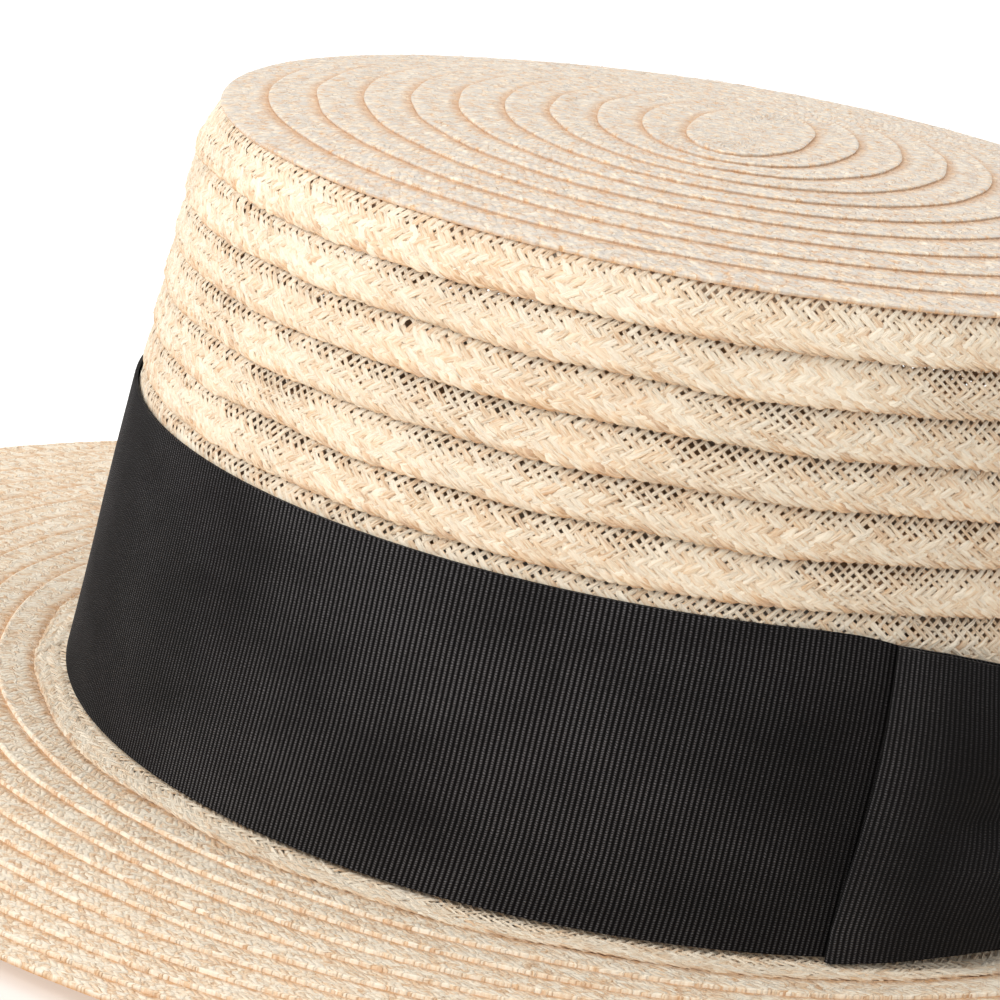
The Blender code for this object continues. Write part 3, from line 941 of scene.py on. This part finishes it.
bowLoop("bow_ribbon_front", "bow_loop_front", -1)
bowLoop("bow_ribbon_rear", "bow_loop_rear", 1)
bowKnot()
print("ribbon done")

# Stray fibres: short thin tubes that stand off the straw
fibres = dict(
    perMetre=140,
    shortest=1.0 * mm,
    longest=4.5 * mm,
    wide=0.085 * mm,
    stand=0.28,          # how steeply they leave the face
    curl=0.35,
)


# Each fibre starts on a row's face, runs off at a random heading and bends back: a parabola.
def strayFibres(name, node, rows, seed):
    pick = np.random.default_rng(seed)
    shell = Shell()
    for row in rows:
        count = round(row["length"] * fibres["perMetre"])
        share = pick.random(count)
        v = pick.uniform(0.05, 1.0, count) * row["width"]
        start, up = rowPlace(row, share, v, 0.25 * mm + 0 * v)
        ahead = rowPlace(row, share + 1e-4, v, 0.25 * mm + 0 * v)[0] - start
        ahead /= np.linalg.norm(ahead, axis=1, keepdims=True)
        side = np.cross(up, ahead)
        heading = pick.uniform(-0.9, 0.9, count) + math.pi * pick.integers(0, 2, count)
        direction = ahead * np.cos(heading)[:, None] + side * np.sin(heading)[:, None]
        cross = np.cross(direction, up)
        length = fibres["shortest"] + (fibres["longest"] - fibres["shortest"]) * pick.random(count) ** 2
        length = length[:, None, None]
        stand = (fibres["stand"] * pick.uniform(0.3, 1.6, count))[:, None, None]
        curl = (fibres["curl"] * pick.normal(0, 1, count))[:, None, None]
        t = np.linspace(0, 1, 5)[None, :, None]
        middle = start[:, None] + length * (direction[:, None] * t + up[:, None] * stand * (t - 0.9 * t * t)
                                            + cross[:, None] * curl * t * t)
        wide = fibres["wide"] * (1 - 0.7 * t) / 2
        ring = np.stack([middle + cross[:, None] * wide, middle + up[:, None] * wide,
                         middle - cross[:, None] * wide], axis=2)
        uv = np.zeros((count, 6, 4, 2))
        uv[..., 0] = np.arange(6)[None, :, None]
        uv[..., 1] = strandMap["width"] * np.arange(count)[:, None, None] + strandMap["step"] * np.arange(4)
        shell.addGrids(ring, uv, closeColumns=True, caps=True)
    dress(shell.finish(name, strandStraw), node)


strayFibres("crown_fibres", "crown", tipRows[4:] + openRows, 7)
strayFibres("brim_fibres", "brim", brimRows, 8)
print("fibres done")

# Camera, fitted to the photograph's outlines
camera = dict(
    azimuth=-79.95,       # degrees round from +X
    elevation=13.43,
    distance=0.6311,
    aim=(-0.02601, -0.00461, 0.03306),
    roll=10.14,
    lens=153.77,
    sensor=36.0,
)


def placeCamera():
    azimuth, elevation, roll = (math.radians(camera[key]) for key in ("azimuth", "elevation", "roll"))
    back = np.array([math.cos(azimuth) * math.cos(elevation), math.sin(azimuth) * math.cos(elevation),
                     math.sin(elevation)])
    right = np.cross([0, 0, 1], back)
    right /= np.linalg.norm(right)
    up = np.cross(back, right)
    matrix = np.eye(4)
    matrix[:3, 0] = math.cos(roll) * right + math.sin(roll) * up
    matrix[:3, 1] = math.cos(roll) * up - math.sin(roll) * right
    matrix[:3, 2] = back
    matrix[:3, 3] = np.array(camera["aim"]) + camera["distance"] * back
    data = bpy.data.cameras.new("camera")
    data.sensor_width = camera["sensor"]
    data.lens = camera["lens"]
    data.clip_start = 0.01
    view = bpy.data.objects.new("camera", data)
    view.matrix_world = Matrix(matrix.tolist())
    bpy.context.scene.collection.objects.link(view)
    bpy.context.scene.camera = view


studio = dict(
    world=0.80,
    floorSize=6.0,
    # Painted shadow: the floor beside the hat is coloured darker grey.
    nearShadowColor=(0.46, 0.45, 0.435),     # the floor beside the hat
    farColor=(0.97, 0.96, 0.95),
    # The floor glows here: painted light.
    glowColor=(1.0, 0.87, 0.77),      # light that comes through the straw of the brim
    glow=0.50,
    farGlow=0.30,                     # keeps the far floor white
    glowStart=(0.72, 0.85),           # these start and end at a share of the way to the brim's edge
    glowEnd=(1.02, 1.17),
    behind=(0.98, 1.08),
    nearShadowFade=(1.15, 1.7),
    farFade=(1.3, 2.1),
    lights=[
        dict(name="key", place=(-0.85, -0.80, 0.85), size=0.7, power=8.5, color=(1, 0.99, 0.975)),
        dict(name="left", place=(-1.1, -0.05, 0.45), size=0.5, power=1.4, color=(1, 0.97, 0.93)),
        dict(name="top", place=(0.1, 0.2, 1.0), size=0.8, power=2.0, color=(1, 0.995, 0.985)),
        dict(name="crown_glow", place=(0, 0, 0.080), size=0.08, power=0.010, color=(1, 0.92, 0.82)),
    ],
)


def setStudio():
    scene = bpy.context.scene
    scene.world = bpy.data.worlds.new("studio")
    scene.world.use_nodes = True
    sky = scene.world.node_tree.nodes["Background"]
    sky.inputs[0].default_value = (1.0, 1.0, 1.0, 1)
    sky.inputs[1].default_value = studio["world"]
    for line in studio["lights"]:
        data = bpy.data.lights.new(line["name"], "AREA")
        data.shape = "DISK"
        data.size = line["size"]
        data.energy = line["power"]
        data.color = line["color"]
        light = bpy.data.objects.new(line["name"], data)
        light.location = line["place"]
        light.rotation_euler = (Vector((0, 0, 0.05)) - light.location).to_track_quat("-Z", "Y").to_euler()
        light.visible_camera = False
        scene.collection.objects.link(light)
    s = studio["floorSize"]
    mesh = bpy.data.meshes.new("floor")
    mesh.from_pydata([(-s, -s, 0), (s, -s, 0), (s, s, 0), (-s, s, 0)], [], [(0, 1, 2, 3)])
    floor = bpy.data.objects.new("floor", mesh)
    scene.collection.objects.link(floor)
    n = Nodes("floor_paper")
    place = n.add("ShaderNodeTexCoord", 3)
    away = n.stretch(place, (1 / brimHigh[0], 1 / brimHigh[1], 0))
    away = n.add("ShaderNodeVectorMath", 1, {0: away}, operation="LENGTH")
    behind = n.smooth(n.add("ShaderNodeSeparateXYZ", 1, {0: place}), 0.0, brimHigh[1])
    behind = n.calc("MULTIPLY", behind, n.smooth(away, *studio["behind"]))
    # Painted shadow near the hat and a painted glow of light under the brim; elsewhere the floor is an even
    # white.
    color = n.calc("MAXIMUM", n.smooth(away, *studio["nearShadowFade"]), behind)
    color = n.mix(color, studio["nearShadowColor"], studio["farColor"])
    far = n.calc("MAXIMUM", n.smooth(away, *studio["farFade"]), behind)
    glow = n.calc("SUBTRACT", n.smooth(away, *studio["glowStart"]), n.smooth(away, *studio["glowEnd"]))
    glow = n.weighted((glow, studio["glow"]), (far, studio["farGlow"]))
    n.wire(n.mix(far, studio["glowColor"], studio["farColor"]), n.shader.inputs["Emission Color"])
    n.wire(glow, n.shader.inputs["Emission Strength"])
    n.done(color, 0.8, n.bump(n.noise(place, 40.0), 0.05 * mm), Specular_IOR_Level=0.2)
    mesh.materials.append(n.material)
    scene.view_settings.view_transform = "Standard"


placeCamera()
setStudio()
print("camera and studio done")
